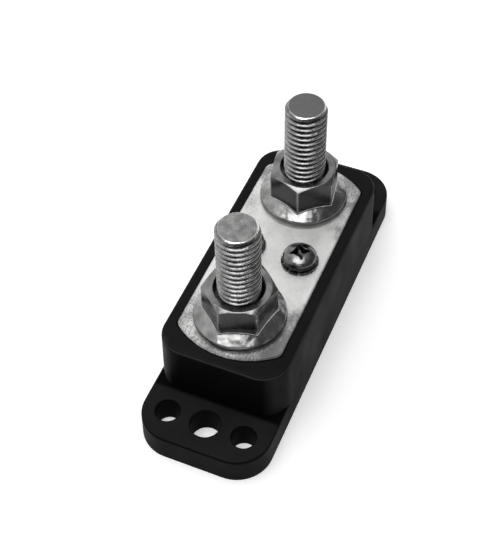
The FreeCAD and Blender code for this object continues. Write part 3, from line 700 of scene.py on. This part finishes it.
def washer_steel():
    """Dark spring steel of the tooth washers, with a few brighter specks."""
    finish = Finish("dark_spring_steel", (0.06, 0.06, 0.06), 1, 0.34)
    speck = finish.noise(0.5, 3)
    finish.tint(finish.grey(finish.span(speck, 0.52, 0.68, 0, 1), 0.035, 0.16))
    finish.gloss(finish.span(speck, 0.3, 0.7, 0.40, 0.28))
    finish.bump(finish.noise(0.3, 2), 0.004, 0.4)
    return finish.material


# ---------------------------------------------------------------- studio

def sheet(name, half, height):
    """A level square of the given half side, at a height."""
    corners = np.array([(-1, -1, 0), (1, -1, 0), (1, 1, 0), (-1, 1, 0)], float) * half
    corners[:, 2] = height
    mesh = bpy.data.meshes.new(name)
    mesh.from_pydata(corners.tolist(), [], [(0, 1, 2, 3)])
    piece = bpy.data.objects.new(name, mesh)
    bpy.context.scene.collection.objects.link(piece)
    return piece


def studio_floor():
    """Plain pale floor. A little white is added for the eye and mirrors, so its shadow stays."""
    floor = sheet("floor", FLOOR_HALF, FLOOR_HEIGHT)
    material = bpy.data.materials.new("pale_floor")
    material.use_nodes = True
    nodes, links = material.node_tree.nodes, material.node_tree.links
    shader = nodes["Principled BSDF"]
    shader.inputs["Base Color"].default_value = (FLOOR_GREY, FLOOR_GREY, FLOOR_GREY, 1)
    shader.inputs["Roughness"].default_value = 0.9
    shader.inputs["Specular IOR Level"].default_value = 0.1
    path = nodes.new("ShaderNodeLightPath")
    lift = nodes.new("ShaderNodeMath")
    lift.operation = "MULTIPLY"
    lift.inputs[1].default_value = FLOOR_LIFT
    seen = path.outputs["Is Camera Ray"]
    for other in ("Is Glossy Ray", "Is Transmission Ray"):
        either = nodes.new("ShaderNodeMath")
        either.operation = "MAXIMUM"
        links.new(seen, either.inputs[0])
        links.new(path.outputs[other], either.inputs[1])
        seen = either.outputs["Value"]
    links.new(seen, lift.inputs[0])
    shader.inputs["Emission Color"].default_value = (1, 1, 1, 1)
    links.new(lift.outputs["Value"], shader.inputs["Emission Strength"])
    floor.data.materials.append(material)


def studio_world():
    """Soft surroundings, even all over the floor, worked out from the direction looked in.

    A grey room, paler to the rear and left and dark to the front and right, a broad overhead
    light of about 22 degrees either way, and white all round near the horizon.
    """
    world = bpy.data.worlds.new("studio")
    bpy.context.scene.world = world
    world.use_nodes = True
    nodes, links = world.node_tree.nodes, world.node_tree.links
    way = nodes.new("ShaderNodeTexCoord").outputs["Generated"]

    def step(aim, start, end, low, high):
        """Strength from low to high as the cosine of the angle to aim goes from start to end."""
        dot = nodes.new("ShaderNodeVectorMath")
        dot.operation = "DOT_PRODUCT"
        dot.inputs[1].default_value = Vector(aim).normalized()
        links.new(way, dot.inputs[0])
        span = nodes.new("ShaderNodeMapRange")
        span.interpolation_type = "SMOOTHSTEP"
        links.new(dot.outputs["Value"], span.inputs["Value"])
        for name, value in (("From Min", start), ("From Max", end),
                            ("To Min", low), ("To Max", high)):
            span.inputs[name].default_value = value
        return span.outputs["Result"]

    def total(first, second):
        """Two strengths added."""
        node = nodes.new("ShaderNodeMath")
        links.new(first, node.inputs[0])
        links.new(second, node.inputs[1])
        return node.outputs["Value"]

    overhead = step(OVERHEAD_WAY, 0.88, 0.96, 0, LIGHT_LEVEL)
    rear = step(REAR_WAY, 0.1, 1.0, ROOM_LEVEL, REAR_LEVEL)
    horizon = step((0, 0, 1), *HORIZON_EDGE, 0, 1)
    mix = nodes.new("ShaderNodeMix")
    links.new(horizon, mix.inputs["Factor"])
    links.new(total(overhead, rear), mix.inputs[2])
    mix.inputs[3].default_value = 1.0
    back = nodes["Background"]
    back.inputs["Color"].default_value = (1, 1, 1, 1)
    links.new(mix.outputs[0], back.inputs["Strength"])


def photograph_camera():
    """The camera at the photograph's own place and length, with no shift."""
    camera = bpy.data.cameras.new("camera")
    camera.sensor_width = CAMERA_SENSOR
    camera.lens = CAMERA_LENS
    camera.clip_start = 0.01
    holder = bpy.data.objects.new("camera", camera)
    holder.location = CAMERA_PLACE
    holder.rotation_euler = Euler([math.radians(a) for a in CAMERA_TURN])
    bpy.context.scene.collection.objects.link(holder)
    bpy.context.scene.camera = holder


# ---------------------------------------------------------------- scene

plastic, tin, steel = moulded_plastic(), tin_plate(), nut_steel()
rolled, nickel, spring = stud_steel(), screw_nickel(), washer_steel()

for node, finish in (("base", plastic), ("bus_plate", tin)):
    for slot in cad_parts[node].material_slots:
        slot.material = finish

for side in ("left", "right"):
    dress(threaded_stud(side), "holder", "stud_" + side, rolled)
    dress(flange_nut(side), "nut_" + side, "flange_nut_" + side, steel)
for place in ("front", "back"):
    dress(terminal_screw(place), "screw_" + place, "terminal_screw_" + place,
          nickel)
    dress(tooth_washer(place), "washer_" + place, "lock_washer_" + place,
          spring)

studio_floor()
studio_world()
photograph_camera()
bpy.context.scene.view_settings.view_transform = "Standard"
